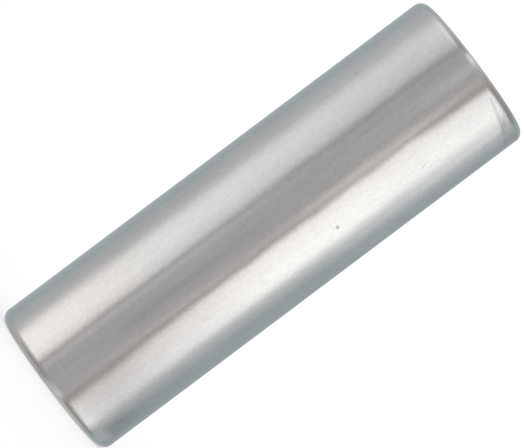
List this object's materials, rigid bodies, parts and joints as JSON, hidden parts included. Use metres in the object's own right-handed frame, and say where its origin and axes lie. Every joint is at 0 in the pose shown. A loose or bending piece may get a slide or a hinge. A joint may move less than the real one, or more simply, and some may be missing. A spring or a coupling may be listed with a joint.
{
  "type": "gudgeon pin",
  "caption": "Hollow cylindrical gudgeon pin of polished steel, with rounded outer edges and a chamfered through bore, that joins a piston to its connecting rod.",
  "frame": {"origin": "centre of the lower end face, on which the pin stands", "axes": "+Z along the pin's axis, up through the upper end face; X and Y are any two directions across the pin"},
  "size_m": [0.02, 0.02, 0.062],
  "materials": {
    "polished_steel": "ground and polished"
  },
  "bodies": {
    "root": {"gudgeon_pin": "polished_steel"}
  },
  "joints": []
}
